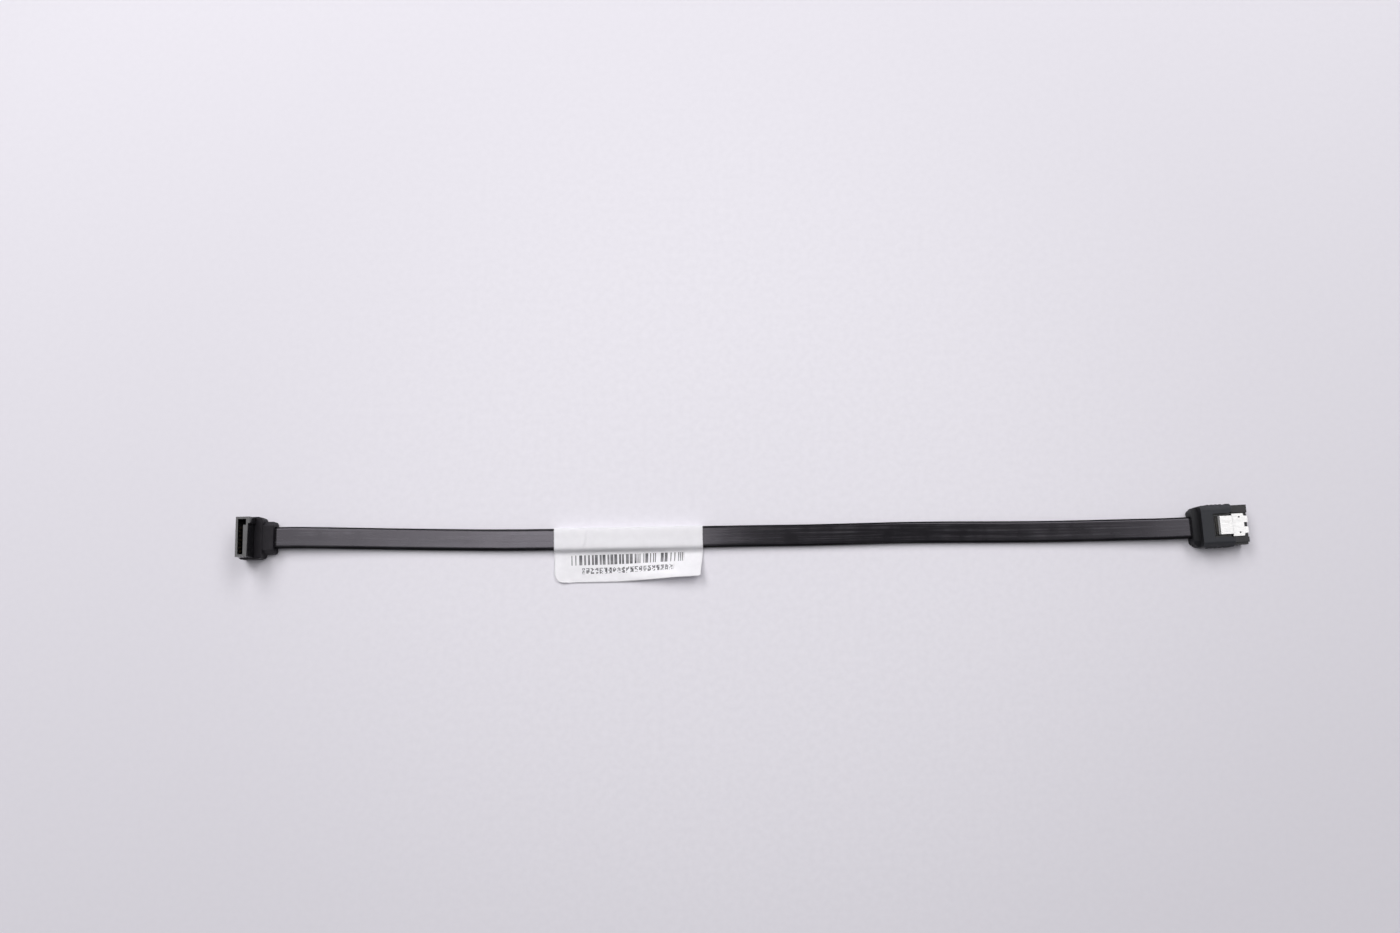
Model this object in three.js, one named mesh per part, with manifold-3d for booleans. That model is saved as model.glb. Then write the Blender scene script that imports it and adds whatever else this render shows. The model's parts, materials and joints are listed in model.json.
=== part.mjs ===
// A flat serial data cable, 300 mm between its two connectors, lying on a table.
// Millimetres, +Z up. The table is z = 0, and the origin is midway between the connectors.
// One connector is straight and has a sprung steel latch. The other turns up at a right angle.
import * as THREE from 'three';
import { mergeVertices } from 'three/addons/utils/BufferGeometryUtils.js';
import Module from 'manifold-3d';

const wasm = await Module();
wasm.setup();

// Clearances: between seated pieces, and round a contact in its channel.
const fit = 0.05;
const contactPlay = 0.1;
// How far a cutting solid runs past the face that it opens.
const cutOver = 1;

// The mating interface, the same in both housings.
const contactCount = 7;
const contactPitch = 1.27;
const contactWide = 0.5;
const contactThick = 0.2;
const contactBulge = 0.35;
const contactSetback = 0.95;
const contactTailLength = 0.75;
const slotPlainMargin = 0.94;
const slotKeyMargin = 2.04;
const slotHigh = 1.25;
const slotDepth = 5.5;
const keyWide = 1.5;
const keyDeep = 0.9;
const contactWall = 1.5;
const plainWall = 1.15;
const housingEndWall = 1.15;

// The flat cable: two screened pairs side by side in one jacket.
const cableWide = 7.1;
const cableThick = 2.0;
const cableEdge = 0.7;
const cableHigh = 2.4;
const cablePlay = 0.1;
const cableSteps = 26;
const signalWire = 0.8;
const groundWire = 0.4;
const wirePitch = 0.92;
const wireSteps = 5;

// The straight connector, measured outwards from where the cable enters it.
const straightLength = 17.7;
const straightOvermouldLength = 12.6;
const straightHalfWide = 6.8;
const straightHigh = 6.7;
const straightEdgeDrop = 1.5;
const straightEdgeRun = 1.2;
const straightFootEdge = 0.4;
const straightReliefLength = 2.3;
const straightReliefHigh = 4.5;
const straightReliefSideHigh = 2.8;
const straightReliefTopHalfWide = 4.4;
// Behind its full width: how far along, and how much narrower on each side.
const straightShoulders = [[0, 1.9], [0.4, 1.2], [0.85, 1.2], [1.0, 0.75], [1.6, 0.4]];
const straightCableDepth = 2.3;
const straightCavityStart = 3.2;
const straightMouldLength = 2.7;
const straightHousingBase = 1.0;
const tangHalfWide = 5.6;
const railHigh = 0.6;
const railInset = 0.3;
const stepWide = 0.75;
const stepDeep = 1.1;
const ribCount = 4;
const ribStart = 5.0;
const ribPitch = 1.4;
const ribLong = 0.6;
const ribProud = 0.2;
const endBandLong = 1.4;
const endBandInset = 0.2;

// The latch, a strip of spring steel pressed into a tab and a front plate.
const latchThick = 0.3;
const latchPlateHalfWide = 3.65;
const latchTabHalfWide = 2.97;
const latchTabStart = 7.35;
const latchTabLength = 5.1;
const latchTabHigh = 7.5;
const latchTabRound = 0.6;
const latchTabSlope = 0.8;
const latchLift = 0.6;
const latchFootDepth = 0.5;
const latchFootPlay = 0.12;
const latchFrontSetback = 0.12;
const latchTipLength = 1.15;
const latchTipHalfWide = 2.8;
const latchEarLength = 0.25;
const latchNotchHalfWide = 0.7;
const latchNotchDepth = 1.25;
const latchDimpleRadius = 0.28;
const latchDimpleAcross = 2.5;
const latchDimpleSetback = 2.7;
const latchCorner = 0.35;
const latchShoulder = 0.3;
const latchWellLong = 0.95;
const latchWellDeep = 2.0;
const recessStart = 6.05;
const recessPlay = 0.2;
const recessFlare = 0.75;
const recessFlareLength = 1.5;

// The right-angle connector, measured outwards from where the cable enters it.
const angledHousingHigh = 10.8;
const angledHousingBase = 1.2;
const angledHousingStart = 6.1;
const angledBlockStart = 3.5;
const angledBlockHigh = 5.2;
const angledBlockHalfWide = 6.9;
const angledOuterWall = 0.95;
const angledBlockEdge = 0.5;
const angledBackRound = 1.4;
const angledReliefHigh = 5.0;
const angledReliefHalfWide = 5.35;
const angledReliefTopHalfWide = 3.9;
const angledReliefSideHigh = 2.7;
const angledReliefRound = 0.9;
const angledCableDepth = 2.6;
const angledMouldStart = 3.75;
const keyBossProud = 0.6;
const keyBossWide = 2.15;
// A round corner drawn with one middle point, as a share of its radius.
const roundMiddle = 1 - Math.SQRT1_2;

// The inner moulds, sleeves round the soldered wire ends.
const mouldWall = 0.45;
const mouldSideMargin = 0.35;
const mouldFloor = 0.6;

// The wrapped label: film round the cable, glued to itself as a flag.
const labelLength = 49.1;
const labelStart = -62.0;
const labelFilm = 0.15;
const labelPlay = 0.1;
const labelFlagReach = 14.25;
const labelFlagThick = 0.3;
const labelFlagEdgeHigh = 0.12;
const labelCorner = 2.6;
const labelFarCorner = 0.8;
const labelEdge = 0.65;
const labelCreaseDrop = 0.31;

// Where each connector lies and how it is turned, seen from above.
const angledExit = new THREE.Vector3(-153.4, -1.95, 0);
const angledTurn = THREE.MathUtils.degToRad(180 + 1.5);
const straightExit = new THREE.Vector3(146.4, 1.42, 0);
const straightTurn = THREE.MathUtils.degToRad(3);

// The cable's route, along the middle of its section, from inside one relief to inside the other.
const cableRoute = [
  [-155.999, -2.018, 2.4],
  [-153.4, -1.95, 2.4],
  [-148.4, -1.84, 2.33],
  [-140.0, -1.86, 2.05],
  [-128.0, -2.02, 1.6],
  [-113.0, -2.24, 1.25],
  [-97.0, -2.44, 1.12],
  [-80.0, -2.54, 1.2],
  [-64.0, -2.42, 1.3],
  [-38.0, -1.92, 1.3],
  [-12.0, -1.42, 1.3],
  [4.0, -1.13, 1.2],
  [20.0, -0.9, 1.1],
  [36.0, -0.5, 1.06],
  [52.0, -0.08, 1.06],
  [68.0, 0.1, 1.06],
  [84.0, 0.15, 1.06],
  [100.0, 0.28, 1.14],
  [114.0, 0.54, 1.42],
  [127.0, 0.82, 1.85],
  [138.0, 1.06, 2.25],
  [146.4, 1.42, 2.4],
  [148.697, 1.54, 2.4],
];

// Sizes that follow from the ones above.
const slotLong = (contactCount - 1) * contactPitch + slotPlainMargin + slotKeyMargin;
const housingHalfWide = slotLong / 2 + housingEndWall;
const housingThick = contactWall + slotHigh + plainWall;
const channelWide = contactWide + 2 * contactPlay;
const channelHigh = contactThick + 2 * contactPlay;
const straightHousingTop = straightHousingBase + housingThick;
const angledHousingEnd = angledHousingStart + housingThick;
const angledBlockEnd = angledHousingEnd + fit + angledOuterWall;
const tangStart = straightCavityStart + straightMouldLength + 2 * fit;
const latchPlateLow = straightHousingTop + latchLift;
const latchTabEnd = latchTabStart + latchTabLength;
const railHalfGap = latchPlateHalfWide + railInset;
const recessHalfWide = latchPlateHalfWide + recessPlay;
const spreadHalfWide = slotLong / 2 - slotPlainMargin + contactWide / 2;

const finishes = {
  overmould: { color: 0x232427, roughness: 0.62, metalness: 0 },
  housing: { color: 0x151517, roughness: 0.28, metalness: 0 },
  innerMould: { color: 0xc9c4b6, roughness: 0.6, metalness: 0 },
  jacket: { color: 0x1d1c1f, roughness: 0.42, metalness: 0 },
  steel: { color: 0xd9d9d6, roughness: 0.25, metalness: 1 },
  contact: { color: 0xc9a04a, roughness: 0.3, metalness: 1 },
  signalSkin: { color: 0xd8d3c8, roughness: 0.5, metalness: 0 },
  groundCopper: { color: 0xb9b6ae, roughness: 0.35, metalness: 1 },
  film: { color: 0xe6e5e8, roughness: 0.4, metalness: 0 },
};

// A closed triangle mesh becomes a solid that can be joined and cut.
function solidOf(geometry) {
  const bare = geometry.clone();
  bare.deleteAttribute('normal');
  bare.deleteAttribute('uv');
  const merged = mergeVertices(bare, 1e-5);
  return new wasm.Manifold(new wasm.Mesh({
    numProp: 3,
    vertProperties: new Float32Array(merged.attributes.position.array),
    triVerts: new Uint32Array(merged.index.array),
  }));
}

function geometryOf(solid) {
  const mesh = solid.getMesh();
  const geometry = new THREE.BufferGeometry();
  geometry.setAttribute('position', new THREE.BufferAttribute(new Float32Array(mesh.vertProperties), 3));
  geometry.setIndex(new THREE.BufferAttribute(new Uint32Array(mesh.triVerts), 1));
  geometry.computeVertexNormals();
  return geometry;
}

function meshOf(name, finish, geometry) {
  const mesh = new THREE.Mesh(geometry, new THREE.MeshStandardMaterial(finishes[finish]));
  mesh.name = name;
  return mesh;
}

// A block between two corners.
function block(x, y, z) {
  const geometry = new THREE.BoxGeometry(x[1] - x[0], y[1] - y[0], z[1] - z[0]);
  geometry.translate((x[0] + x[1]) / 2, (y[0] + y[1]) / 2, (z[0] + z[1]) / 2);
  return solidOf(geometry);
}

function outlineOf(points) {
  return new THREE.Shape(points.map(([u, v]) => new THREE.Vector2(u, v)));
}

// Prisms of an outline: drawn in Y and Z and run along X, in X and Z along Y, in X and Y along Z.
function prismAlongX(outline, from, to) {
  const geometry = new THREE.ExtrudeGeometry(outline, { depth: to - from, bevelEnabled: false });
  geometry.applyMatrix4(new THREE.Matrix4().makeBasis(
    new THREE.Vector3(0, 1, 0),
    new THREE.Vector3(0, 0, 1),
    new THREE.Vector3(1, 0, 0),
  ));
  geometry.translate(from, 0, 0);
  return solidOf(geometry);
}

function prismAlongY(outline, from, to) {
  const geometry = new THREE.ExtrudeGeometry(outline, { depth: to - from, bevelEnabled: false });
  geometry.applyMatrix4(new THREE.Matrix4().makeBasis(
    new THREE.Vector3(1, 0, 0),
    new THREE.Vector3(0, 0, 1),
    new THREE.Vector3(0, -1, 0),
  ));
  geometry.translate(0, to, 0);
  return solidOf(geometry);
}

function prismAlongZ(outline, from, to) {
  const geometry = new THREE.ExtrudeGeometry(outline, { depth: to - from, bevelEnabled: false });
  geometry.translate(0, 0, from);
  return solidOf(geometry);
}

// An outline that is the same on both sides of its axis, from the points of one side.
function mirrored(side) {
  const other = side.map(([u, v]) => [-u, v]).reverse();
  return outlineOf([...side, ...other]);
}

// The same about the U axis, for a plan outline.
function mirroredInPlan(side) {
  const other = side.map(([u, v]) => [u, -v]).reverse();
  return outlineOf([...side, ...other]);
}

// Where contact number index sits across the connector, with the key end at +Y.
function contactAcross(index) {
  return -slotLong / 2 + slotPlainMargin + index * contactPitch;
}

// What is cut from a housing's mating end. The mouth is at x = mouth, the slot runs along Y,
// and z = wallLow is the outer face of the wall that carries the contacts.
function tongueSlot(mouth, wallLow) {
  const slotLow = wallLow + contactWall;
  const along = [mouth - slotDepth, mouth + cutOver];
  const slot = block(along, [-slotLong / 2, slotLong / 2], [slotLow, slotLow + slotHigh]);
  const key = block(along, [slotLong / 2 - keyWide, slotLong / 2], [slotLow - keyDeep, slotLow + slotHigh / 2]);
  return slot.add(key);
}

// The straight connector.

function straightOutline() {
  const shoulders = straightShoulders.map(([along, inset]) => [along, straightHalfWide - inset]);
  return [
    ...shoulders,
    [straightCavityStart, straightHalfWide],
    [straightOvermouldLength, straightHalfWide],
  ];
}

// Adds the grip ribs and the front band to both sides.
function withSideRibs(body) {
  const end = straightOvermouldLength - endBandInset;
  const spans = [[end - endBandLong, end]];
  for (let i = 0; i < ribCount; i += 1) {
    const from = ribStart + i * ribPitch;
    spans.push([from, from + ribLong]);
  }
  const low = straightEdgeDrop / 2;
  const high = straightHigh - straightEdgeDrop;
  const reach = straightHalfWide + ribProud;
  const inside = straightHalfWide - ribProud;
  let solid = body;
  for (const span of spans) {
    solid = solid.add(block(span, [inside, reach], [low, high]));
    solid = solid.add(block(span, [-reach, -inside], [low, high]));
  }
  return solid;
}

// The space that the latch stands in, open at the front and the top, flared at its mouth.
function latchRecess() {
  const front = straightOvermouldLength;
  const plan = mirroredInPlan([
    [recessStart, recessHalfWide],
    [front - recessFlareLength, recessHalfWide],
    [front + cutOver / 2, recessHalfWide + recessFlare],
  ].reverse());
  return prismAlongZ(plan, straightHousingTop - fit, straightHigh + cutOver);
}

function straightOvermould() {
  const half = straightHalfWide;
  const body = mirrored([
    [half - straightFootEdge, 0],
    [half, straightFootEdge],
    [half, straightHigh - straightEdgeDrop],
    [half - straightEdgeRun, straightHigh],
  ]);
  const relief = mirrored([
    [half, 0],
    [half, straightReliefSideHigh],
    [straightReliefTopHalfWide, straightReliefHigh],
  ]);
  const plan = prismAlongZ(mirroredInPlan(straightOutline().reverse()), 0, straightHigh);
  let solid = prismAlongX(body, straightReliefLength, straightOvermouldLength);
  solid = solid.add(prismAlongX(relief, 0, straightReliefLength + fit));
  solid = withSideRibs(solid.intersect(plan));
  const cavityHalf = tangHalfWide + fit;
  const cavity = block(
    [straightCavityStart, straightOvermouldLength + cutOver],
    [-cavityHalf, cavityHalf],
    [straightHousingBase - fit, straightHousingTop + fit],
  );
  return solid.subtract(cavity).subtract(cableHole(straightCavityStart)).subtract(latchRecess());
}

// The hole that the jacket comes through, from the relief's face into the cavity.
function cableHole(depth) {
  const halfWide = cableWide / 2 + cablePlay;
  const halfThick = cableThick / 2 + cablePlay;
  return block([-cutOver, depth + fit], [-halfWide, halfWide], [cableHigh - halfThick, cableHigh + halfThick]);
}

function straightHousing() {
  const nose = straightOvermouldLength + fit;
  const top = straightHousingTop;
  const wide = housingHalfWide;
  const tang = block([tangStart, nose + fit], [-tangHalfWide, tangHalfWide], [straightHousingBase, top]);
  let solid = tang.add(block([nose, straightLength], [-wide, wide], [straightHousingBase, top]));
  for (const side of [-1, 1]) {
    const across = [side * railHalfGap, side * wide].sort((a, b) => a - b);
    solid = solid.add(block([nose, straightLength], across, [top - fit, top + railHigh]));
  }
  const step = block(
    [nose - cutOver, straightLength + cutOver],
    [-wide - cutOver, -wide + stepWide],
    [top + railHigh - stepDeep, top + railHigh + cutOver],
  );
  const footSlot = block(
    [latchTabStart - latchFootPlay, latchTabStart + latchThick + latchFootPlay],
    [-latchTabHalfWide - latchFootPlay, latchTabHalfWide + latchFootPlay],
    [top - latchFootDepth - latchFootPlay, top + cutOver],
  );
  const latchWell = block(
    [tangStart - cutOver, tangStart + latchWellLong],
    [-recessHalfWide, recessHalfWide],
    [top - latchWellDeep, top + cutOver],
  );
  solid = solid.subtract(step).subtract(footSlot).subtract(latchWell);
  solid = solid.subtract(tongueSlot(straightLength, straightHousingBase));
  const channelTop = straightHousingBase + contactWall + fit;
  for (let i = 0; i < contactCount; i += 1) {
    const y = contactAcross(i);
    solid = solid.subtract(block(
      [tangStart - cutOver, straightLength - contactSetback + contactPlay],
      [y - channelWide / 2, y + channelWide / 2],
      [channelTop - channelHigh, channelTop],
    ));
  }
  return solid;
}

// A contact of the straight connector: a flat tail, a bulge into the slot and a tip.
function straightContact(index) {
  const low = straightHousingBase + contactWall + fit - channelHigh + contactPlay;
  const tip = straightLength - contactSetback;
  const tail = tangStart - contactTailLength;
  const rise = straightLength - slotDepth + contactThick;
  const crest = (rise + tip) / 2 + contactBulge;
  const profile = outlineOf([
    [tail, low],
    [tip, low],
    [tip, low + contactThick],
    [crest + contactBulge, low + contactThick + contactBulge],
    [crest - contactBulge, low + contactThick + contactBulge],
    [rise, low + contactThick],
    [tail, low + contactThick],
  ]);
  const y = contactAcross(index);
  return prismAlongY(profile, y - contactWide / 2, y + contactWide / 2);
}

// The latch seen from the side: a foot, the raised press tab and the front plate.
function latchSpring() {
  const low = latchPlateLow;
  const top = low + latchThick;
  const foot = straightHousingTop - latchFootDepth;
  const front = straightLength - latchFrontSetback;
  const start = latchTabStart;
  const profile = outlineOf([
    [start, foot],
    [start + latchThick, foot],
    [start + latchThick, latchTabHigh - latchTabRound - latchThick / 2],
    [start + latchThick / 2 + latchTabRound, latchTabHigh - latchThick],
    [latchTabEnd - latchTabSlope, latchTabHigh - latchThick],
    [latchTabEnd - latchThick, low],
    [front, low],
    [front, top],
    [latchTabEnd, top],
    [latchTabEnd - latchTabSlope + latchThick, latchTabHigh],
    [start + latchTabRound, latchTabHigh],
    [start, latchTabHigh - latchTabRound],
  ]);
  const strip = prismAlongY(profile, -latchPlateHalfWide, latchPlateHalfWide);
  const plateStart = latchTabEnd + latchThick;
  const tipStart = front - latchTipLength;
  const plan = prismAlongZ(mirroredInPlan([
    [front, latchTipHalfWide - latchCorner],
    [front - latchCorner, latchTipHalfWide],
    [tipStart, latchTipHalfWide],
    [tipStart - latchShoulder, latchPlateHalfWide],
    [plateStart - latchEarLength, latchPlateHalfWide],
    [plateStart - latchEarLength, latchPlateHalfWide - latchCorner],
    [plateStart, latchTabHalfWide],
    [start, latchTabHalfWide],
  ]), foot, latchTabHigh);
  const notch = block(
    [front - latchNotchDepth, front + cutOver],
    [-latchNotchHalfWide, latchNotchHalfWide],
    [low - cutOver, top + cutOver],
  );
  let solid = strip.intersect(plan).subtract(notch);
  for (const side of [-1, 1]) {
    const hole = new THREE.CylinderGeometry(latchDimpleRadius, latchDimpleRadius, 4 * latchThick, 10);
    hole.rotateX(Math.PI / 2);
    hole.translate(front - latchDimpleSetback, side * latchDimpleAcross, low + latchThick / 2);
    solid = solid.subtract(solidOf(hole));
  }
  return solid;
}

// The right-angle connector.

function angledOvermould() {
  const half = angledBlockHalfWide;
  const edge = angledBlockEdge;
  const back = angledBlockStart;
  const end = angledBlockEnd;
  const blockPlan = prismAlongZ(mirroredInPlan([
    [end, half - edge],
    [end - edge, half],
    [back + angledBackRound, half],
    [back + angledBackRound * roundMiddle, half - angledBackRound * roundMiddle],
    [back, half - angledBackRound],
  ]), 0, angledBlockHigh);
  const blockSection = prismAlongX(mirrored([
    [half - edge, 0],
    [half, edge],
    [half, angledBlockHigh - edge],
    [half - edge, angledBlockHigh],
  ]), back, end);
  const reliefPlan = prismAlongZ(mirroredInPlan([
    [back + fit, angledReliefHalfWide],
    [angledReliefRound, angledReliefHalfWide],
    [angledReliefRound * roundMiddle, angledReliefHalfWide - angledReliefRound * roundMiddle],
    [0, angledReliefHalfWide - angledReliefRound],
  ]), 0, angledReliefHigh);
  const reliefSection = prismAlongX(mirrored([
    [angledReliefHalfWide, 0],
    [angledReliefHalfWide, angledReliefSideHigh],
    [angledReliefTopHalfWide, angledReliefHigh],
  ]), 0, back + fit);
  const housingPocket = block(
    [angledHousingStart - fit, angledHousingEnd + fit],
    [-housingHalfWide - fit, housingHalfWide + fit],
    [angledHousingBase - fit, angledBlockHigh + cutOver],
  );
  const mouldPocket = block(
    [angledMouldStart - fit, angledHousingStart],
    [-mouldHalfWide() - fit, mouldHalfWide() + fit],
    [angledMouldLow() - fit, angledMouldHigh() + fit],
  );
  const solid = blockPlan.intersect(blockSection).add(reliefPlan.intersect(reliefSection));
  return solid.subtract(housingPocket).subtract(mouldPocket).subtract(cableHole(angledMouldStart));
}

// The housing stands up: its mouth is on top, and the wall with the contacts faces the cable.
function angledHousing() {
  const wide = housingHalfWide;
  const span = [angledHousingStart, angledHousingEnd];
  const boss = [angledHousingStart - keyBossProud, angledHousingStart + fit];
  let solid = block(span, [-wide, wide], [angledHousingBase, angledHousingHigh]);
  solid = solid.add(block(boss, [-wide, -wide + keyBossWide], [angledBlockHigh + fit, angledHousingHigh]));
  solid = solid.subtract(stoodUp(tongueSlot(angledHousingHigh, angledHousingStart)));
  const channelEnd = angledHousingStart + contactWall + fit;
  for (let i = 0; i < contactCount; i += 1) {
    const y = -contactAcross(i);
    const across = [y - channelWide / 2, y + channelWide / 2];
    const down = [angledTailLow() - contactPlay, angledHousingHigh - contactSetback + contactPlay];
    solid = solid.subtract(block([channelEnd - channelHigh, channelEnd], across, down));
    const outwards = [angledHousingStart - cutOver, channelEnd];
    solid = solid.subtract(block(outwards, across, [down[0], down[0] + channelHigh]));
  }
  return solid;
}

// Turns a solid made with its mouth along +X so that the mouth faces +Z.
function stoodUp(solid) {
  const geometry = geometryOf(solid);
  geometry.applyMatrix4(new THREE.Matrix4().makeBasis(
    new THREE.Vector3(0, 0, 1),
    new THREE.Vector3(0, -1, 0),
    new THREE.Vector3(1, 0, 0),
  ));
  return solidOf(geometry);
}

function angledTailLow() {
  return cableHigh - contactThick / 2;
}

function angledContact(index) {
  const outer = angledHousingStart + contactWall + fit - contactPlay;
  const inner = outer - contactThick;
  const low = angledTailLow();
  const tip = angledHousingHigh - contactSetback;
  const slotFloor = angledHousingHigh - slotDepth + contactThick;
  const crest = (slotFloor + tip) / 2 + contactBulge;
  const tail = angledHousingStart - contactTailLength;
  const profile = outlineOf([
    [tail, low],
    [outer, low],
    [outer, slotFloor],
    [outer + contactBulge, crest - contactBulge],
    [outer + contactBulge, crest + contactBulge],
    [outer, tip],
    [inner, tip],
    [inner, low + contactThick],
    [tail, low + contactThick],
  ]);
  const y = -contactAcross(index);
  return prismAlongY(profile, y - contactWide / 2, y + contactWide / 2);
}

// The inner moulds.

function mouldHalfWide() {
  return spreadHalfWide + mouldSideMargin + mouldWall;
}

function angledMouldLow() {
  return cableHigh - signalWire / 2 - mouldSideMargin / 2 - mouldFloor;
}

function angledMouldHigh() {
  return cableHigh + signalWire / 2 + mouldSideMargin / 2 + mouldFloor;
}

// A sleeve from one x to another, open at both ends for the wires and the contact tails.
function innerMould(from, to, halfWide, low, high) {
  const hollowHalf = spreadHalfWide + mouldSideMargin;
  const hollowHigh = signalWire / 2 + mouldSideMargin / 2;
  const hollow = block(
    [from - cutOver, to + cutOver],
    [-hollowHalf, hollowHalf],
    [cableHigh - hollowHigh, cableHigh + hollowHigh],
  );
  return block([from, to], [-halfWide, halfWide], [low, high]).subtract(hollow);
}

// One stripped wire end, from the jacket's end to the tip of its contact's tail.
function wireEnd(index, from, to, side) {
  const ground = index % 3 === 0;
  const radius = (ground ? groundWire : signalWire) / 2;
  const start = (index - (contactCount - 1) / 2) * wirePitch;
  const end = contactAcross(index);
  const points = [];
  for (let i = 0; i <= wireSteps; i += 1) {
    const t = i / wireSteps;
    const ease = t * t * (3 - 2 * t);
    points.push(new THREE.Vector3(from + t * (to - from), side * (start + ease * (end - start)), cableHigh));
  }
  const corners = [];
  for (let i = 0; i < 8; i += 1) {
    const angle = (i + 0.5) * Math.PI / 4;
    corners.push([radius * Math.cos(angle), radius * Math.sin(angle)]);
  }
  return new THREE.ExtrudeGeometry(outlineOf(corners), {
    steps: wireSteps,
    extrudePath: new THREE.CatmullRomCurve3(points),
  });
}

// The cable and its label.

function cableTube() {
  const wide = cableWide / 2;
  const thick = cableThick / 2;
  const section = outlineOf([
    [-thick, -wide + cableEdge],
    [-thick + cableEdge, -wide],
    [thick - cableEdge, -wide],
    [thick, -wide + cableEdge],
    [thick, wide - cableEdge],
    [thick - cableEdge, wide],
    [-thick + cableEdge, wide],
    [-thick, wide - cableEdge],
  ]);
  const route = new THREE.CatmullRomCurve3(cableRoute.map((point) => new THREE.Vector3(...point)));
  return new THREE.ExtrudeGeometry(section, { steps: cableSteps, extrudePath: route });
}

// The film's section across the cable, with the cable's middle at y = 0 and z = middle.
function labelSolid(middle) {
  const wide = cableWide / 2 + labelPlay + labelFilm;
  const high = cableThick / 2 + labelPlay + labelFilm;
  const edge = labelEdge;
  const flagHigh = labelFlagEdgeHigh;
  const section = outlineOf([
    [wide - edge, middle - high],
    [wide, middle - high + edge],
    [wide, middle + high - edge],
    [wide - edge, middle + high],
    [-wide + edge, middle + high],
    [-wide, middle + high - edge],
    [-wide - edge, middle - labelCreaseDrop],
    [-labelFlagReach, flagHigh + labelFlagThick],
    [-labelFlagReach, flagHigh],
    [-wide - edge, middle - high + labelFlagThick / 2],
    [-wide + edge, middle - high],
  ]);
  const holeWide = cableWide / 2 + labelPlay;
  const holeHigh = cableThick / 2 + labelPlay;
  section.holes.push(new THREE.Path([
    [holeWide - edge, middle - holeHigh],
    [-holeWide + edge, middle - holeHigh],
    [-holeWide, middle - holeHigh + edge],
    [-holeWide, middle + holeHigh - edge],
    [-holeWide + edge, middle + holeHigh],
    [holeWide - edge, middle + holeHigh],
    [holeWide, middle + holeHigh - edge],
    [holeWide, middle - holeHigh + edge],
  ].map(([u, v]) => new THREE.Vector2(u, v))));
  const round = labelCorner;
  const farRound = labelFarCorner;
  const plan = new THREE.Shape();
  plan.moveTo(0, wide + cutOver);
  plan.lineTo(0, -labelFlagReach + round);
  plan.absarc(round, -labelFlagReach + round, round, Math.PI, Math.PI * 1.5);
  plan.lineTo(labelLength - farRound, -labelFlagReach);
  plan.absarc(labelLength - farRound, -labelFlagReach + farRound, farRound, Math.PI * 1.5, Math.PI * 2);
  plan.lineTo(labelLength, wide + cutOver);
  const depth = middle + high + cutOver;
  const film = new THREE.ExtrudeGeometry(plan, { depth, bevelEnabled: false, curveSegments: 5 });
  return prismAlongX(section, 0, labelLength).intersect(solidOf(film));
}

// The assembly.

function straightConnector() {
  const group = new THREE.Group();
  group.position.copy(straightExit);
  group.rotation.z = straightTurn;
  group.add(meshOf('straight_overmould', 'overmould', geometryOf(straightOvermould())));
  group.add(meshOf('straight_housing', 'housing', geometryOf(straightHousing())));
  group.add(meshOf('latch_spring', 'steel', geometryOf(latchSpring())));
  const mould = innerMould(
    straightCavityStart + fit,
    straightCavityStart + fit + straightMouldLength,
    tangHalfWide,
    straightHousingBase,
    straightHousingTop - fit,
  );
  group.add(meshOf('straight_inner_mould', 'innerMould', geometryOf(mould)));
  for (let i = 0; i < contactCount; i += 1) {
    group.add(meshOf(`straight_contact_${i + 1}`, 'contact', geometryOf(straightContact(i))));
  }
  const wireStart = straightCableDepth + contactPlay;
  const wireStop = tangStart - contactTailLength - contactPlay;
  addWires(group, 'straight', wireStart, wireStop, 1);
  return group;
}

function angledConnector() {
  const group = new THREE.Group();
  group.position.copy(angledExit);
  group.rotation.z = angledTurn;
  group.add(meshOf('angled_overmould', 'overmould', geometryOf(angledOvermould())));
  group.add(meshOf('angled_housing', 'housing', geometryOf(angledHousing())));
  const mould = innerMould(
    angledMouldStart,
    angledHousingStart - fit,
    mouldHalfWide(),
    angledMouldLow(),
    angledMouldHigh(),
  );
  group.add(meshOf('angled_inner_mould', 'innerMould', geometryOf(mould)));
  for (let i = 0; i < contactCount; i += 1) {
    group.add(meshOf(`angled_contact_${i + 1}`, 'contact', geometryOf(angledContact(i))));
  }
  const wireStart = angledCableDepth + contactPlay;
  const wireStop = angledHousingStart - contactTailLength - contactPlay;
  addWires(group, 'angled', wireStart, wireStop, -1);
  return group;
}

function addWires(group, name, from, to, side) {
  for (let i = 0; i < contactCount; i += 1) {
    const ground = i % 3 === 0;
    const kind = ground ? 'ground_wire' : 'signal_wire';
    const finish = ground ? 'groundCopper' : 'signalSkin';
    group.add(meshOf(`${name}_${kind}_${i + 1}`, finish, wireEnd(i, from, to, side)));
  }
}

// The label lies along the chord of the route's straight stretch.
function label() {
  const [from, , to] = cableRoute.slice(8, 11);
  const slope = Math.atan2(to[1] - from[1], to[0] - from[0]);
  const mesh = meshOf('wrap_label', 'film', geometryOf(labelSolid(from[2])));
  mesh.position.set(labelStart, from[1] + (labelStart - from[0]) * Math.tan(slope), 0);
  mesh.rotation.z = slope;
  return mesh;
}

const cable = new THREE.Group();
cable.add(meshOf('flat_cable', 'jacket', cableTube()));
cable.add(label());
cable.add(straightConnector());
cable.add(angledConnector());

export default cable;
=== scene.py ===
# %% [markdown]
# A flat data cable, 300 mm between its two moulded connectors, lies on a pale table.
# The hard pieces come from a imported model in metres, and this script gives every one its finish.
# It starts with that model, the camera and the cable, because everything else sits round the cable.

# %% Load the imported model
import json
import math
import random

import bmesh
import bpy
from mathutils import Matrix, Vector, noise


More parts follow.
